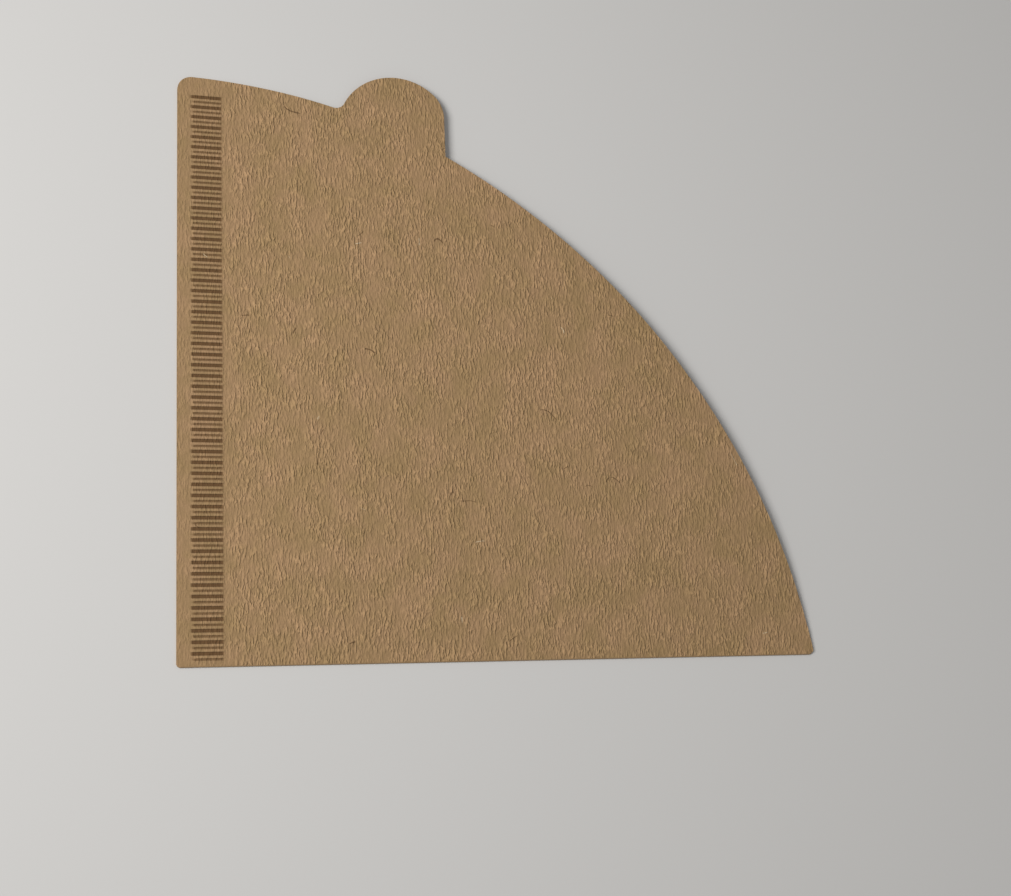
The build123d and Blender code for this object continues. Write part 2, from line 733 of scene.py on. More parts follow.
@dataclass
class SheetMesh:
    """Gathers the vertices and faces of the folded sheet.

    Attributes:
        places: Blocks of vertices, in millimetres.
        front: For each block, 1 on the front leaf and 0 elsewhere.
        skin: For each block, 1 on the front leaf's outer face and 0 elsewhere.
        triangles: Blocks of triangles.
        cut: For each block of triangles, whether it is a cut edge.
    """

    places: list[np.ndarray] = field(default_factory=list)
    front: list[np.ndarray] = field(default_factory=list)
    skin: list[np.ndarray] = field(default_factory=list)
    triangles: list[np.ndarray] = field(default_factory=list)
    cut: list[np.ndarray] = field(default_factory=list)

    def add(
        self, flat: np.ndarray, height: np.ndarray | float, front: bool = False, skin: bool = False
    ) -> np.ndarray:
        """Adds vertices.

        Args:
            flat: Their places in the plane.
            height: Their heights.
            front: Whether they belong to the front leaf.
            skin: Whether they lie on the front leaf's outer face.

        Returns:
            Their numbers.
        """
        first = sum(len(block) for block in self.places)
        count = len(flat)
        self.places.append(np.column_stack([flat, np.broadcast_to(height, count)]))
        self.front.append(np.full(count, float(front)))
        self.skin.append(np.full(count, float(skin)))
        return np.arange(first, first + count)

    def face(self, triangles: np.ndarray, cut: bool = False) -> None:
        """Adds triangles, given by vertex numbers."""
        self.triangles.append(triangles)
        self.cut.append(np.full(len(triangles), cut))

    def wall(self, upper: np.ndarray, lower: np.ndarray) -> None:
        """Joins two closed rings of vertices, one over the other, with a cut edge.

        Args:
            upper: Vertex numbers of the upper ring.
            lower: Vertex numbers of the lower ring.
        """
        next_upper = np.roll(upper, -1)
        next_lower = np.roll(lower, -1)
        self.face(np.column_stack([lower, next_lower, next_upper]), cut=True)
        self.face(np.column_stack([lower, next_upper, upper]), cut=True)

    def mesh(self, name: str, corner: np.ndarray) -> bpy.types.Mesh:
        """Makes the Blender mesh, without the vertices that no face uses.

        Args:
            name: The mesh's name.
            corner: The sheet's outer corner in the frame, in metres.

        Returns:
            The mesh, in metres, with the attributes that its node tree reads.
        """
        faces = np.concatenate(self.triangles)
        used, corners = np.unique(faces, return_inverse=True)
        places = np.concatenate(self.places)[used] * MM
        places[:, :2] += corner
        mesh = bpy.data.meshes.new(name)
        mesh.vertices.add(len(places))
        mesh.vertices.foreach_set("co", places.ravel())
        mesh.loops.add(faces.size)
        mesh.loops.foreach_set("vertex_index", corners.ravel().astype(np.int32))
        mesh.polygons.add(len(faces))
        mesh.polygons.foreach_set("loop_start", np.arange(0, faces.size, 3, dtype=np.int32))
        mesh.update(calc_edges=True)
        for mark, blocks in ((Mark.FRONT, self.front), (Mark.SKIN, self.skin)):
            layer = mesh.attributes.new(mark.value, "FLOAT", "POINT")
            layer.data.foreach_set("value", np.concatenate(blocks)[used])
        layer = mesh.attributes.new(Mark.CUT_EDGE.value, "BOOLEAN", "FACE")
        layer.data.foreach_set("value", np.concatenate(self.cut))
        if mesh.validate():
            raise ValueError("the sheet's mesh had faults")
        return mesh


class Finish(ABC):
    """A finish, which becomes one material.

    Attributes:
        name: The material's name.
    """

    name: str

    @abstractmethod
    def surface(self, tree: bpy.types.NodeTree) -> dict[str, Any]:
        """Adds the finish's nodes to a material.

        Args:
            tree: The material's tree.

        Returns:
            A value or a socket for each input that the shader gets.
        """

    def material(self) -> bpy.types.Material:
        """Builds the material.

        Returns:
            The material.
        """
        material = bpy.data.materials.new(self.name)
        tree = cleared_tree(material)
        shader = add_node(tree, "ShaderNodeBsdfPrincipled", self.surface(tree))
        add_node(tree, "ShaderNodeOutputMaterial", {"Surface": shader})
        return material


@dataclass(frozen=True)
class CrepedPaper(Finish):
    """Unbleached filter paper, wet-creped: soft brown and matt, with fine upright wrinkles.

    The eye gets a dull tan with faint cloudy patches, short light and dark strokes where the
    wrinkles catch the light, from their bump and from painted highlight on their crowns and
    painted shade between them, a few hair-fine fibres, and a darker tone in the crimp grooves,
    partly for the paper that the tool has pressed dense and partly painted shade.

    Attributes:
        crepe: The wrinkles, which are the ones that the mesh carries.
        name: The material's name.
        colour: The paper's colour where it is yellowish.
        other_colour: Its colour where it is pinkish.
        pressed_and_shaded_colour: Its colour in the crimp grooves, for the paper that the tool
        has pressed dense and for painted shade in the grooves.
        valley_painted_shade: Brightness of the paper between the wrinkles, darker as painted
            shade.
        crown: Brightness of the wrinkles, lighter as painted highlight.
        roughness: Roughness of the dry fibres.
        specular: Level of their reflection.
        relief: Depth of the wrinkles that the bump adds to the mesh, in millimetres.
        grain: Size of the fibre grain, in millimetres, drawn coarser than real so that it shows.
        grain_range: Values of the grain's noise between which its tone changes.
        grain_tones: Brightness at the two ends of that range.
        grain_depth: Depth of the fibre grain, in millimetres.
        cloud: Size of the cloudy patches, in millimetres.
        cloud_range: Values of the clouds' noise between which the colour changes.
        fibre_start: Place of the first kind of fibre's pattern, in metres. Each next kind's
            lies as far again along X.
        fibre_path: Size of the loops that the fibres follow, in millimetres.
        fibre_level: Value of the path's noise that the fibres follow.
        fibre_length: Length of a fibre, in millimetres.
        fibre_fade: Range of the second noise over which a fibre's ends fade out.
        fibre_strength: How much of the paper's colour a fibre covers.
        fibres: For each kind, its colour, half its width as a share of the path's noise, and
            the value of the second noise below which there is none.
    """

    crepe: Crepe
    name: str = "unbleached_creped_filter_paper"
    colour: str = "#9E815A"
    other_colour: str = "#A88763"
    pressed_and_shaded_colour: str = "#6A4E31"
    valley_painted_shade: float = 0.89
    crown: float = 1.25
    roughness: float = 0.88
    specular: float = 0.25
    relief: float = 0.26
    grain: float = 0.26
    grain_range: tuple[float, float] = (0.3, 0.7)
    grain_tones: tuple[float, float] = (0.93, 1.07)
    grain_depth: float = 0.04
    cloud: float = 7.0
    cloud_range: tuple[float, float] = (0.35, 0.65)
    fibre_start: tuple[float, float, float] = (0.4, 0.3, 0.2)
    fibre_path: float = 6.0
    fibre_level: float = 0.57
    fibre_length: float = 5.0
    fibre_fade: float = 0.02
    fibre_strength: float = 0.75
    fibres: tuple[tuple[str, float, float], ...] = (
        ("#5E452C", 0.010, 0.76),
        ("#D8C6A6", 0.007, 0.78),
    )

    def surface(self, tree: bpy.types.NodeTree) -> dict[str, Any]:
        """Adds the paper's clouds, grain and fibres, its wrinkles with painted highlight and
        shade, and its pressed grooves with painted shade.

        Args:
            tree: The material's tree.

        Returns:
            A value or a socket for each input that the shader gets.
        """
        place = add_node(tree, "ShaderNodeTexCoord", output="Object")
        wrinkles = self.crepe.add(tree, place, self.crepe.size, self.crepe.start)
        creped, pressed = (
            add_node(tree, "ShaderNodeAttribute", output="Fac", attribute_name=mark.value)
            for mark in (Mark.CREPED, Mark.PRESSED_AND_SHADE)
        )
        wrinkles = add_node(tree, "ShaderNodeMath", (wrinkles, creped), operation="MULTIPLY")
        grain = self.noise(tree, place, self.grain, 2.0)
        clouds = self.noise(tree, place, self.cloud, 3.0)

        # The colour, from the clouds up to the fibres
        patches = add_node(tree, "ShaderNodeMapRange", (clouds, *self.cloud_range))
        colour = linear(self.colour)
        # The clouds are the paper's own tone; the groove tone is dense paper plus painted shade
        for mask, tint in ((patches, self.other_colour), (pressed, self.pressed_and_shaded_colour)):
            laid = {MIX_FACTOR: mask, MIX_A: colour, MIX_B: linear(tint)}
            colour = add_node(tree, "ShaderNodeMix", laid, MIX_RESULT, data_type="RGBA")
        # Painted highlight on the wrinkles' crowns and painted shade between them
        tone = add_node(tree, "ShaderNodeMapRange", (wrinkles, 0.0, 1.0, self.valley_painted_shade, self.crown))
        grains = (grain, *self.grain_range, *self.grain_tones)
        speckle = add_node(tree, "ShaderNodeMapRange", grains)
        value = add_node(tree, "ShaderNodeMath", (tone, speckle), operation="MULTIPLY")
        colour = add_node(tree, "ShaderNodeHueSaturation", {"Color": colour, "Value": value})
        for number, (fibre, width, bare) in enumerate(self.fibres, 1):
            mask = self.fibre_mask(tree, place, width, bare, number)
            laid = {MIX_FACTOR: mask, MIX_A: colour, MIX_B: linear(fibre)}
            colour = add_node(tree, "ShaderNodeMix", laid, MIX_RESULT, data_type="RGBA")

        # The relief of the wrinkles, and that of the grain over it
        coarse = {"Height": wrinkles, "Strength": 1.0, "Distance": self.relief * MM}
        normal = add_node(tree, "ShaderNodeBump", coarse)
        fine = {"Height": grain, "Strength": 1.0, "Distance": self.grain_depth * MM}
        normal = add_node(tree, "ShaderNodeBump", fine | {"Normal": normal})
        return {
            "Base Color": colour,
            "Roughness": self.roughness,
            "Specular IOR Level": self.specular,
            "Normal": normal,
        }

    def noise(
        self, tree: bpy.types.NodeTree, place: bpy.types.NodeSocket, size: float, detail: float
    ) -> bpy.types.NodeSocket:
        """Adds soft noise that is as coarse as a size in millimetres."""
        settings = {"Vector": place, "Scale": 1 / (size * MM), "Detail": detail, "Roughness": 0.6}
        return add_node(tree, "ShaderNodeTexNoise", settings)

    def fibre_mask(
        self,
        tree: bpy.types.NodeTree,
        place: bpy.types.NodeSocket,
        width: float,
        bare: float,
        number: int,
    ) -> bpy.types.NodeSocket:
        """Shows where short curved fibres lie.

        A fibre follows a line of one height through a slow noise, and a second noise leaves
        only short pieces of that line.

        Args:
            tree: The material's tree.
            place: The socket with the place on the sheet.
            width: Half a fibre's width, as a share of the slow noise.
            bare: Value of the second noise below which there is no fibre.
            number: Which kind of fibre this is, from 1, so that each kind has its own places.

        Returns:
            The socket with the fibres' strength.
        """
        x, y, z = self.fibre_start
        away = Vector((x * number, y, z))
        moved = add_node(tree, "ShaderNodeVectorMath", (place, away), operation="ADD")
        path = self.noise(tree, moved, self.fibre_path, 0.0)
        piece = self.noise(tree, moved, self.fibre_length, 0.0)
        followed = (path, self.fibre_level, width)
        line = add_node(tree, "ShaderNodeMath", followed, operation="COMPARE")
        ends = (piece, bare, bare + self.fibre_fade, 0.0, self.fibre_strength)
        shown = add_node(tree, "ShaderNodeMapRange", ends)
        return add_node(tree, "ShaderNodeMath", (line, shown), operation="MULTIPLY")


@dataclass(frozen=True)
class CutPaperEdge(Finish):
    """The die-cut edge of the paper: a little paler than its face, with torn fibre ends.

    Attributes:
        name: The material's name.
        colour: Colour of the cut fibres.
        shade: Colour between them.
        roughness: Roughness of the cut.
        specular: Level of its reflection.
        grain: Size of a bundle of fibre ends, in millimetres, drawn coarse so that it shows.
        depth: Depth between the bundles, in millimetres.
    """

    name: str = "die_cut_filter_paper_edge"
    colour: str = "#A88E6C"
    shade: str = "#86694A"
    roughness: float = 0.95
    specular: float = 0.2
    grain: float = 0.3
    depth: float = 0.04

    def surface(self, tree: bpy.types.NodeTree) -> dict[str, Any]:
        """Adds the bundles of fibre ends.

        Args:
            tree: The material's tree.

        Returns:
            A value or a socket for each input that the shader gets.
        """
        place = add_node(tree, "ShaderNodeTexCoord", output="Object")
        ends = {"Vector": place, "Scale": 1 / (self.grain * MM), "Detail": 3.0, "Roughness": 0.7}
        bundles = add_node(tree, "ShaderNodeTexNoise", ends)
        laid = {MIX_FACTOR: bundles, MIX_A: linear(self.shade), MIX_B: linear(self.colour)}
        colour = add_node(tree, "ShaderNodeMix", laid, MIX_RESULT, data_type="RGBA")
        relief = {"Height": bundles, "Strength": 1.0, "Distance": self.depth * MM}
        normal = add_node(tree, "ShaderNodeBump", relief)
        return {
            "Base Color": colour,
            "Roughness": self.roughness,
            "Specular IOR Level": self.specular,
            "Normal": normal,
        }


class Size(Enum):
    """The named inputs of the relief tree, lengths in metres."""

    CORNER = "Sheet Corner"
    BAND_START = "Band Start"
    BAND_END = "Band End"
    BAND_EASE = "Band Ease"
    FIRST_GROOVE = "First Groove"
    LAST_GROOVE = "Last Groove"
    PITCH = "Groove Pitch"
    BROAD_GROOVE = "Broad Groove"
    NARROW_GROOVE = "Narrow Groove"
    FLANK = "Ridge Flank"
    HEIGHT = "Ridge Height"
    PRESS = "Ridge Press"
    CREPE = "Crepe Size"
    CREPE_HEIGHT = "Crepe Height"
    CREPE_EASE = "Crepe Ease"
    WAVE_LENGTH = "Wave Length"
    WAVE_HEIGHT = "Wave Height"
    WAVE_START = "Wave Start"
    WAVE_EASE = "Wave Ease"
    SEED = "Seed"


@dataclass
class PaperRelief:
    """Geometry Nodes tree that presses the ridges, the crepe and the slow waves into a mesh.

    Attributes:
        crepe: The pattern of the wrinkles.
        face: Material of the paper's faces.
        edge: Material of its cut edges.
        narrow_press_and_shade: How much of the pressed tone with its painted shade a narrow
        groove gets, as a share of a broad one.
        seam_crepe: Share of the wrinkles that the tool leaves along the seam.
        tree: The tree, once its building has begun.
        given: The tree's inputs.
    """

    crepe: Crepe
    face: bpy.types.Material
    edge: bpy.types.Material
    narrow_press_and_shade: float = 0.7
    seam_crepe: float = 0.4
    tree: bpy.types.NodeTree | None = None
    given: dict[Size, bpy.types.NodeSocket] = field(default_factory=dict)

    def build(self, values: dict[Size, float | Vector]) -> bpy.types.NodeTree:
        """Builds the tree.

        Args:
            values: A value for each input, which says whether the input is a vector.

        Returns:
            The tree.
        """
        tree = self.tree = bpy.data.node_groups.new("paper_relief", "GeometryNodeTree")
        interface = tree.interface
        interface.new_socket("Sheet", in_out="INPUT", socket_type="NodeSocketGeometry")
        for size in Size:
            kind = "NodeSocketVector" if isinstance(values[size], Vector) else "NodeSocketFloat"
            interface.new_socket(size.value, in_out="INPUT", socket_type=kind)
        interface.new_socket("Sheet", in_out="OUTPUT", socket_type="NodeSocketGeometry")
        sheet = add_node(tree, "NodeGroupInput")
        self.given = {size: sheet.node.outputs[size.value] for size in Size}

        offset, pressed, creped = self.relief()
        for mark, value in ((Mark.PRESSED_AND_SHADE, pressed), (Mark.CREPED, creped)):
            tagged = {"Geometry": sheet, "Name": mark.value, "Value": value}
            sheet = add_node(tree, "GeometryNodeStoreNamedAttribute", tagged, domain="POINT")
        sheet = add_node(tree, "GeometryNodeSetPosition", {"Geometry": sheet, "Offset": offset})
        sheet = add_node(tree, "GeometryNodeRealizeInstances", (sheet,))
        faced = {"Geometry": sheet, "Material": self.face}
        sheet = add_node(tree, "GeometryNodeSetMaterial", faced)
        named = {"Name": Mark.CUT_EDGE.value}
        cut = add_node(tree, "GeometryNodeInputNamedAttribute", named, data_type="BOOLEAN")
        edged = {"Geometry": sheet, "Selection": cut, "Material": self.edge}
        sheet = add_node(tree, "GeometryNodeSetMaterial", edged)
        add_node(tree, "NodeGroupOutput", (sheet,))
        return tree

    def relief(self) -> tuple[bpy.types.NodeSocket, ...]:
        """Adds up the ridges, the crepe and the slow waves.

        Returns:
            The socket with each point's move, the socket with how dense the paper is pressed,
            which also carries the painted shade of the grooves, and the socket with the share of
            the wrinkles that is left.
        """
        tree, given = self.tree, self.given
        position = add_node(tree, "GeometryNodeInputPosition")
        corner = (position, given[Size.CORNER])
        place = add_node(tree, "ShaderNodeVectorMath", corner, operation="SUBTRACT")
        x, y = (add_node(tree, "ShaderNodeSeparateXYZ", (place,), axis) for axis in "XY")
        front, skin = (
            add_node(tree, "GeometryNodeInputNamedAttribute", {"Name": mark.value})
            for mark in (Mark.FRONT, Mark.SKIN)
        )

        # The band: its ridges rise, and the outer face sinks to the pressed thickness
        ridge, groove_press_and_shade, band = self.crimps(x, y)
        # The groove mask darkens the paper's colour: dense pressed paper and painted shade
        pressed = add_node(tree, "ShaderNodeMath", (groove_press_and_shade, band), operation="MULTIPLY")
        raised = add_node(tree, "ShaderNodeMath", (ridge, given[Size.HEIGHT]), operation="MULTIPLY")
        thinned = add_node(tree, "ShaderNodeMath", (skin, given[Size.PRESS]), operation="MULTIPLY")
        crimped = add_node(tree, "ShaderNodeMath", (raised, thinned), operation="SUBTRACT")
        lift = add_node(tree, "ShaderNodeMath", (crimped, band), operation="MULTIPLY")

        # The crepe: fainter in the seam, where the tool has pressed it too
        end = given[Size.BAND_END]
        clear = add_node(tree, "ShaderNodeMath", (end, given[Size.CREPE_EASE]), operation="ADD")
        creped = add_node(tree, "ShaderNodeMapRange", (x, end, clear, self.seam_crepe, 1.0))
        kept = add_node(tree, "ShaderNodeMath", (creped, skin), operation="MULTIPLY")
        full = given[Size.CREPE_HEIGHT]
        height = add_node(tree, "ShaderNodeMath", (kept, full), operation="MULTIPLY")
        wrinkles = self.crepe.add(tree, position, given[Size.CREPE], given[Size.SEED])

        for shape, size in ((wrinkles, height), (self.wave(place, x, y), front)):
            lift = add_node(tree, "ShaderNodeMath", (shape, size, lift), operation="MULTIPLY_ADD")
        return add_node(tree, "ShaderNodeCombineXYZ", {"Z": lift}), pressed, creped

    def rise(self, value: Any, middle: Any, width: Any) -> bpy.types.NodeSocket:
        """Rises from 0 to 1 about a middle value.

        Args:
            value: The socket that is tested.
            middle: Where the result is one half.
            width: Width of the whole rise.

        Returns:
            The socket with the result.
        """
        low, high = (
            add_node(self.tree, "ShaderNodeMath", (width, half, middle), operation="MULTIPLY_ADD")
            for half in (-0.5, 0.5)
        )
        way = (value, low, high)
        return add_node(self.tree, "ShaderNodeMapRange", way, interpolation_type="SMOOTHSTEP")

    def crimps(
        self, x: bpy.types.NodeSocket, y: bpy.types.NodeSocket
    ) -> tuple[bpy.types.NodeSocket, ...]:
        """The band of ridges. The tool's narrow teeth start one ease further in, and their grooves
        get less of the pressed tone with its painted shade.

        Args:
            x: Distance from the seam's cut edge.
            y: Distance from the fold.

        Returns:
            The socket with the ridges' height, 1 on a crest and 0 in a groove, the socket with
            how dense the grooves are pressed, which also sets their painted shade, and the socket
            with the band, 1 inside it.
        """
        tree, given = self.tree, self.given
        pitch, flank, ease = given[Size.PITCH], given[Size.FLANK], given[Size.BAND_EASE]
        first_groove, last_groove = given[Size.FIRST_GROOVE], given[Size.LAST_GROOVE]
        along = add_node(tree, "ShaderNodeMath", (y, first_groove), operation="SUBTRACT")
        to_narrow = add_node(tree, "ShaderNodeMath", (along, pitch), operation="PINGPONG")
        to_broad = add_node(tree, "ShaderNodeMath", (pitch, to_narrow), operation="SUBTRACT")
        ridge = 1.0
        groove_press_and_shade = 0.0
        for distance, groove, press in (
            (to_broad, given[Size.BROAD_GROOVE], 1.0),
            (to_narrow, given[Size.NARROW_GROOVE], self.narrow_press_and_shade),
        ):
            width = add_node(tree, "ShaderNodeMath", (groove, flank), operation="ADD")
            middle = add_node(tree, "ShaderNodeMath", (width, 0.5), operation="MULTIPLY")
            side = self.rise(distance, middle, flank)
            ridge = add_node(tree, "ShaderNodeMath", (ridge, side), operation="MINIMUM")
            # Groove floor and flanks get the pressed tone with its painted shade, narrow ones less
            one_groove_press_and_shade = add_node(tree, "ShaderNodeMath", (side, -press, press), operation="MULTIPLY_ADD")
            groove_press_and_shade = add_node(tree, "ShaderNodeMath", (groove_press_and_shade, one_groove_press_and_shade), operation="ADD")

        narrow = add_node(tree, "ShaderNodeMath", (to_broad, pitch), operation="DIVIDE")
        shortened = (narrow, ease, given[Size.BAND_START])
        start = add_node(tree, "ShaderNodeMath", shortened, operation="MULTIPLY_ADD")
        reach = add_node(tree, "ShaderNodeMath", (pitch, 0.5), operation="MULTIPLY")
        first = add_node(tree, "ShaderNodeMath", (first_groove, reach), operation="SUBTRACT")
        last = add_node(tree, "ShaderNodeMath", (last_groove, reach), operation="ADD")
        band = 1.0
        for value, low, high, width in (
            (x, start, given[Size.BAND_END], ease),
            (y, first, last, flank),
        ):
            past_low = self.rise(value, low, width)
            past_high = self.rise(value, high, width)
            short_of_high = add_node(tree, "ShaderNodeMath", (1.0, past_high), operation="SUBTRACT")
            for side in (past_low, short_of_high):
                band = add_node(tree, "ShaderNodeMath", (band, side), operation="MULTIPLY")
        return ridge, groove_press_and_shade, band

    def wave(
        self, place: bpy.types.NodeSocket, x: bpy.types.NodeSocket, y: bpy.types.NodeSocket
    ) -> bpy.types.NodeSocket:
        """Slow waves of the front leaf, which die out at the fold and at the seam.

        Args:
            place: Place on the sheet.
            x: Distance from the seam's cut edge.
            y: Distance from the fold.

        Returns:
            The socket with the lift in metres.
        """
        tree, given = self.tree, self.given
        scale = add_node(tree, "ShaderNodeMath", (1.0, given[Size.WAVE_LENGTH]), operation="DIVIDE")
        slow = {"Vector": place, "Scale": scale, "Detail": 1.0}
        noise = add_node(tree, "ShaderNodeTexNoise", slow)
        height = given[Size.WAVE_HEIGHT]
        lift = add_node(tree, "ShaderNodeMath", (noise, height), operation="MULTIPLY")
        for value, axis in ((x, "X"), (y, "Y")):
            line = add_node(tree, "ShaderNodeSeparateXYZ", (given[Size.WAVE_START],), axis)
            far = add_node(tree, "ShaderNodeMath", (line, given[Size.WAVE_EASE]), operation="ADD")
            way = (value, line, far)
            eased = add_node(tree, "ShaderNodeMapRange", way, interpolation_type="SMOOTHSTEP")
            lift = add_node(tree, "ShaderNodeMath", (lift, eased), operation="MULTIPLY")
        return lift


@dataclass
class FoldedFilter:
    """The whole filter: both leaves, the fold, the crimped seam and the open mouth.

    Attributes:
        corner: The sheet's outer corner in the frame, in metres.
        shape: Its sizes and outline.
        crimps: The ridges of its seam.
        crepe: The pattern of its wrinkles.
        edge_spacing: Spacing of the mesh along the long edges, in millimetres.
        corner_spacing: Spacing of the mesh in the rounded corners, in millimetres.
        crepe_grid: Mesh on the front face, as fine as the limit on triangles lets it be.
        plain_grid: Mesh on the back face.
        plain_columns: On the back face, one in so many of the band's columns stays.
        hidden_grid: Mesh between the leaves.
        clearance: Least distance from an outer face's outline to a point inside it.
        crepe_height: Height of the wrinkles that the mesh carries, in millimetres.
        crepe_ease: Width of the strip beside the seam where they are fainter, in millimetres.
        wave_length: Size of the front leaf's slow waves, in millimetres.
        wave_height: Height of those waves, in millimetres.
        wave_ease: Distance over which they die out at fold and seam, in millimetres.
        ply_groove: Depth of the line between the two leaves on the cut seam, in millimetres.
        ply_fade: Number of points over which that line fades out.
        sharp_angle: Angle past which an edge of the mesh is shaded sharp, in degrees.
    """

    corner: np.ndarray
    shape: FoldedShape = field(default_factory=FoldedShape)
    crimps: Crimps = field(default_factory=Crimps)
    crepe: Crepe = field(default_factory=Crepe)
    edge_spacing: float = 0.4
    corner_spacing: float = 0.15
    crepe_grid: Grid = Grid(0.235, 1.0)
    plain_grid: Grid = Grid(0.9, 1.8)
    plain_columns: int = 4
    hidden_grid: Grid = Grid(2.4, 2.4)
    clearance: float = 0.12
    crepe_height: float = 0.06
    crepe_ease: float = 3.0
    wave_length: float = 45.0
    wave_height: float = 0.6
    wave_ease: float = 30.0
    ply_groove: float = 0.05
    ply_fade: int = 4
    sharp_angle: float = 50.0

    def build(self, face: bpy.types.Material, edge: bpy.types.Material) -> bpy.types.Object:
        """Builds the filter as one closed mesh.

        Args:
            face: Material of the paper's faces.
            edge: Material of its cut edges.

        Returns:
            The finished object, with no modifier left.
        """
        blank = add_object("filter_blank", self.flat_mesh())
        values = self.relief_values()
        relief = blank.modifiers.new("relief", "NODES")
        relief.node_group = PaperRelief(self.crepe, face, edge).build(values)
        sockets = {item.name: item.identifier for item in relief.node_group.interface.items_tree}
        for size, value in values.items():
            relief[sockets[size.value]] = value
        graph = bpy.context.evaluated_depsgraph_get()
        mesh = bpy.data.meshes.new_from_object(blank.evaluated_get(graph))
        mesh.name = "folded_filter"
        blank.modifiers.remove(relief)
        bpy.data.objects.remove(blank)
        mesh.shade_smooth()
        mesh.set_sharp_from_angle(angle=math.radians(self.sharp_angle))
        return add_object("folded_filter", mesh)

    def relief_values(self) -> dict[Size, float | Vector]:
        """Values for the relief tree.

        Returns:
            One value for each input, lengths in metres.
        """
        shape, crimps = self.shape, self.crimps
        first = crimps.first_centre()
        lengths = {
            Size.BAND_START: shape.seam_margin,
            Size.BAND_END: shape.seam_margin + shape.crimp_width,
            Size.BAND_EASE: shape.crimp_width / crimps.columns,
            Size.FIRST_GROOVE: first,
            Size.LAST_GROOVE: first + crimps.count(shape.rim_radius) * crimps.pitch,
            Size.PITCH: crimps.pitch,
            Size.BROAD_GROOVE: crimps.broad_groove,
            Size.NARROW_GROOVE: crimps.narrow_groove,
            Size.FLANK: crimps.flank,
            Size.HEIGHT: crimps.height,
            Size.PRESS: crimps.press,
            Size.CREPE_HEIGHT: self.crepe_height,
            Size.CREPE_EASE: self.crepe_ease,
            Size.WAVE_LENGTH: self.wave_length,
            Size.WAVE_HEIGHT: self.wave_height,
            Size.WAVE_EASE: self.wave_ease,
        }
        return {size: length * MM for size, length in lengths.items()} | {
            Size.CORNER: Vector((*self.corner, 0.0)),
            Size.CREPE: self.crepe.size,
            Size.WAVE_START: Vector((*shape.tip * MM, 0.0)),
            Size.SEED: self.crepe.start,
        }

    def skin_points(self, grid: Grid, loop: np.ndarray, coarse: int) -> np.ndarray:
        """Points inside an outer face: the band's own points, and a grid beside it.

        Args:
            grid: The grid beside the band.
            loop: The face's outline.
            coarse: Keeps one in so many of the band's columns.

        Returns:
            One row for each point.
        """
        shape = self.shape
        end = shape.seam_margin + shape.crimp_width
        ridges = self.crimps.count(shape.rim_radius)
        band = self.crimps.points(shape.seam_margin, end, ridges, coarse)
        spread = grid.points(shape.extent)
        low = band.min(axis=0) - grid.across / 2
        high = band.max(axis=0) + grid.across / 2
        in_band = np.all((spread > low) & (spread < high), axis=1)
        return inside(np.concatenate([spread[~in_band], band]), loop, self.clearance)

    def flat_mesh(self) -> bpy.types.Mesh:
        """Builds the closed mesh before its ridges and its crepe are pressed in.

        Returns:
            The mesh.
        """
        shape = self.shape
        thick = shape.thickness
        loop, first, last = self.open_outline()
        count = len(loop)

        # The fold is a full round: its faces start one thickness inside the outline, and its
        # shoulders lie an eighth of a turn round it
        fold = 1 - smooth_step(loop[:, 1], 0.0, shape.tip_corner)
        eighth_turn = math.sqrt(0.5)
        inward = inward_normals(loop)
        skin_loop = loop + inward * (fold * thick)[:, None]
        shoulder_loop = loop + inward * (fold * thick * (1 - eighth_turn))[:, None]
        half = thick * (0.5 + fold * (eighth_turn - 0.5))

        # The line between the leaves fades out towards both ends of the mouth
        steps = np.abs(np.arange(count)[:, None] - np.array([first, last])).min(axis=1)
        closed = np.ones(count)
        closed[first + 1 : last] = 0.0
        fade = closed * np.clip(steps / self.ply_fade, 0, 1)
        ply_loop = loop + inward * (self.ply_groove * (1 - fold) * fade)[:, None]

        sheet = SheetMesh()
        crepe_points = self.skin_points(self.crepe_grid, skin_loop, 1)
        plain_points = self.skin_points(self.plain_grid, skin_loop, self.plain_columns)
        top_flat = np.concatenate([skin_loop, crepe_points])
        top = sheet.add(top_flat, 2 * thick + shape.bow(top_flat), front=True, skin=True)
        bottom = sheet.add(np.concatenate([skin_loop, plain_points]), 0.0)
        upper = sheet.add(shoulder_loop, thick + shape.bow(loop) + half, front=True)
        lower = sheet.add(shoulder_loop, thick - half)
        ply = sheet.add(ply_loop, thick)

        sheet.face(top[fill(skin_loop, crepe_points, self.crepe_grid.squeeze)])
        sheet.face(bottom[fill(skin_loop, plain_points, self.plain_grid.squeeze)[:, ::-1]])
        roof_ring, floor_ring = self.add_pocket(sheet, ply_loop, ply, first, last)
        sheet.wall(top[:count], upper)
        sheet.wall(upper, roof_ring)
        sheet.wall(floor_ring, lower)
        sheet.wall(lower, bottom[:count])
        return sheet.mesh("filter_blank", self.corner)

    def add_pocket(
        self, sheet: SheetMesh, ply_loop: np.ndarray, ply: np.ndarray, first: int, last: int
    ) -> list[np.ndarray]:
        """Adds the space between the leaves.

        Args:
            sheet: The mesh that gets it.
            ply_loop: The line between the leaves, all round the outline.
            ply: The vertices of that line.
            first: Number of the mouth's first point on it.
            last: Number of the mouth's last point on it.

        Returns:
            The rings of vertices where the front leaf and the back leaf end inside. They are
            one ring where the leaves are joined.
        """
        shape = self.shape
        thick = shape.thickness
        spacing = self.hidden_grid.across
        mouth = ply_loop[first : last + 1]
        crease = straight_walk(shape.tip, mouth[0], spacing)
        parting = straight_walk(mouth[-1], shape.tip, spacing)[1:]
        loop = np.concatenate([crease, mouth, parting])
        spread = inside(self.hidden_grid.points(shape.extent), loop, spacing / 3)
        pocket = np.concatenate([loop, spread])
        roof = sheet.add(pocket, thick + shape.bow(pocket), front=True)
        floor = sheet.add(pocket, thick)

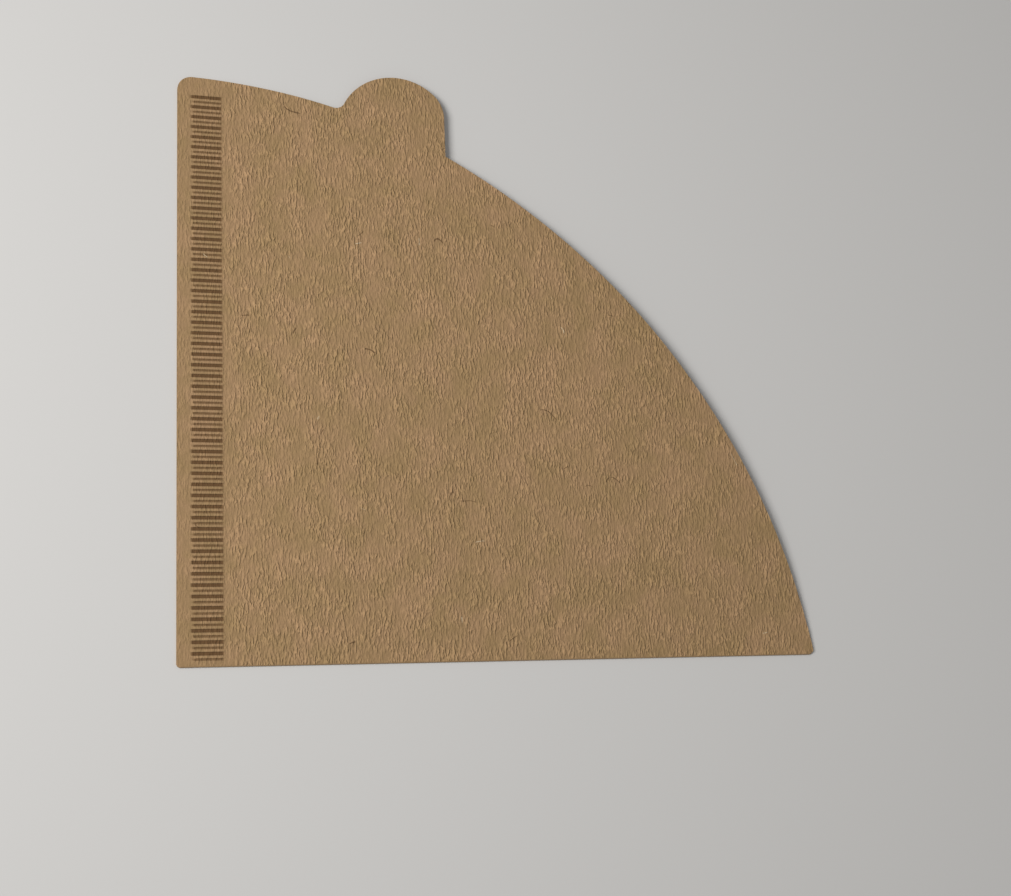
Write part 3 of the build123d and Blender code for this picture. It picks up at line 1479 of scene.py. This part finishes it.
        # The crease and the parting line, with the mouth's two ends, belong to both leaves
        opening = slice(len(crease), len(crease) + len(mouth))
        is_joined = np.ones(len(loop), dtype=bool)
        is_joined[opening.start + 1 : opening.stop - 1] = False
        joined = np.flatnonzero(is_joined)
        floor[joined] = roof[joined]

        faces = fill(loop, spread)
        encloses = (roof[faces] != floor[faces]).any(axis=1)
        faces = faces[encloses]
        sheet.face(roof[faces[:, ::-1]])
        sheet.face(floor[faces])
        ends = (roof[opening], floor[opening])
        return [np.concatenate([ply[:first], end, ply[last + 1 :]]) for end in ends]

    def open_outline(self) -> tuple[np.ndarray, int, int]:
        """The outline, with a point at either end of the mouth.

        Returns:
            The points, and the numbers of the mouth's first and last point.
        """
        shape = self.shape
        loop = shape.outline(self.edge_spacing, self.corner_spacing)
        loop, first = with_crossing(loop, 1, shape.tip[1], loop[:, 0] > shape.fold_length / 2)
        loop, last = with_crossing(loop, 0, shape.tip[0], loop[:, 1] > shape.rim_radius / 2)
        return loop, first, last


@dataclass(frozen=True)
class PaleLaminate(Finish):
    """Pale table laminate, matt and plain.

    The eye gets an even light grey that takes the filter's soft shadow.

    Attributes:
        name: The material's name.
        colour: Its colour.
        roughness: Its roughness.
        specular: Level of its reflection.
    """

    name: str = "pale_matt_laminate"
    colour: str = "#D0CECB"
    roughness: float = 0.75
    specular: float = 0.3

    def surface(self, tree: bpy.types.NodeTree) -> dict[str, Any]:
        """Gives the shader one plain colour, with no node.

        Args:
            tree: The material's tree, which is not used.

        Returns:
            A value for each input that the shader gets.
        """
        return {
            "Base Color": linear(self.colour),
            "Roughness": self.roughness,
            "Specular IOR Level": self.specular,
        }


@dataclass(frozen=True)
class TableTop:
    """The table that the filter lies on.

    Attributes:
        finish: Its finish.
        half_size: Half its side, in metres.
        drop: How far it lies below the sheet, in metres, so that the two don't coincide.
    """

    finish: Finish = PaleLaminate()
    half_size: float = 3.0
    drop: float = 0.00002

    def build(self) -> bpy.types.Object:
        """Builds the table's surface.

        Returns:
            The object.
        """
        half = self.half_size
        corners = [(-half, -half), (half, -half), (half, half), (-half, half)]
        mesh = bpy.data.meshes.new("table_top")
        mesh.from_pydata([(x, y, -self.drop) for x, y in corners], [], [(0, 1, 2, 3)])
        mesh.materials.append(self.finish.material())
        return add_object("table_top", mesh)


@dataclass(frozen=True)
class SoftLamp:
    """A square lamp.

    Attributes:
        name: The lamp's name.
        place: Where it hangs, in metres.
        size: Its side, in metres.
        power: Its power, in watts.
        spread: Angle of its beam, in degrees, which keeps the table beneath it from glaring.
    """

    name: str
    place: tuple[float, float, float]
    size: float
    power: float
    spread: float

    def build(self) -> None:
        """Hangs the lamp and aims it at the origin."""
        lamp = bpy.data.lights.new(self.name, "AREA")
        lamp.shape = "SQUARE"
        lamp.size = self.size
        lamp.energy = self.power
        lamp.spread = math.radians(self.spread)
        holder = add_object(self.name, lamp)
        holder.location = self.place
        holder.rotation_euler = (-Vector(self.place)).to_track_quat("-Z", "Y").to_euler()


@dataclass(frozen=True)
class Studio:
    """Soft light from the left and the camera.

    Attributes:
        lamp: The lamp.
        sky: Colour of the light from all round.
        sky_strength: Strength of that light.
        eye: Where the camera stands, from the sheet's outer corner, in millimetres.
        aim: Where its middle points on the table, in millimetres.
        roll: How far it is turned from the seam's direction, in degrees.
        lens: Focal length, in millimetres.
        sensor: Width of the picture behind the lens, in millimetres.
    """

    lamp: SoftLamp = SoftLamp("window_lamp", (-0.53, 0.04, 0.456), 0.32, 1.62, 110.0)
    sky: str = "#FFFFFF"
    sky_strength: float = 0.33
    eye: tuple[float, float, float] = (-27.45, -23.63, 326.78)
    aim: tuple[float, float, float] = (72.82, 47.73, 0.0)
    roll: float = 2.44
    lens: float = 55.14
    sensor: float = 36.0

    def build(self, corner: np.ndarray) -> None:
        """Hangs the lamp, lights the room and places the camera.

        Args:
            corner: The sheet's outer corner in the frame, in metres.
        """
        self.lamp.build()
        world = bpy.data.worlds.new("studio")
        tree = cleared_tree(world)
        sky = {"Color": linear(self.sky), "Strength": self.sky_strength}
        light = add_node(tree, "ShaderNodeBackground", sky)
        add_node(tree, "ShaderNodeOutputWorld", {"Surface": light})
        bpy.context.scene.world = world
        self.place_camera(Vector((*corner, 0.0)))

    def place_camera(self, origin: Vector) -> None:
        """Places the camera and makes it the scene's own.

        Args:
            origin: The sheet's outer corner in the frame, in metres.
        """
        eye = Vector(self.eye) * MM + origin
        forward = (Vector(self.aim) * MM + origin - eye).normalized()
        side = forward.cross(Vector((0.0, 1.0, 0.0))).normalized()
        up = side.cross(forward)
        turn = Matrix.Rotation(math.radians(self.roll), 3, forward)
        axes = Matrix((turn @ side, turn @ up, -forward)).transposed().to_4x4()
        lens = bpy.data.cameras.new("photo_camera")
        lens.lens = self.lens
        lens.sensor_width = self.sensor
        lens.sensor_fit = "HORIZONTAL"
        camera = add_object("photo_camera", lens)
        camera.matrix_world = Matrix.Translation(eye) @ axes
        bpy.context.scene.camera = camera


def main() -> None:
    """Builds the filter, its table and its light around the frame."""
    logging.basicConfig(level=logging.INFO, format="%(message)s")
    bpy.context.scene.view_settings.view_transform = "Standard"
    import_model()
    low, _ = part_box(NODE)
    corner = np.array(low[:2], dtype=float)

    folded_filter = FoldedFilter(corner)
    face = CrepedPaper(folded_filter.crepe).material()
    edge = CutPaperEdge().material()
    paper = folded_filter.build(face, edge)
    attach(paper, BODY)
    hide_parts(NODE)
    LOG.info("folded_filter: %d triangles", len(paper.data.polygons))

    TableTop().build()
    LOG.info("table_top: laid")
    Studio().build(corner)
    LOG.info("studio: lit")


if __name__ == "__main__":
    main()
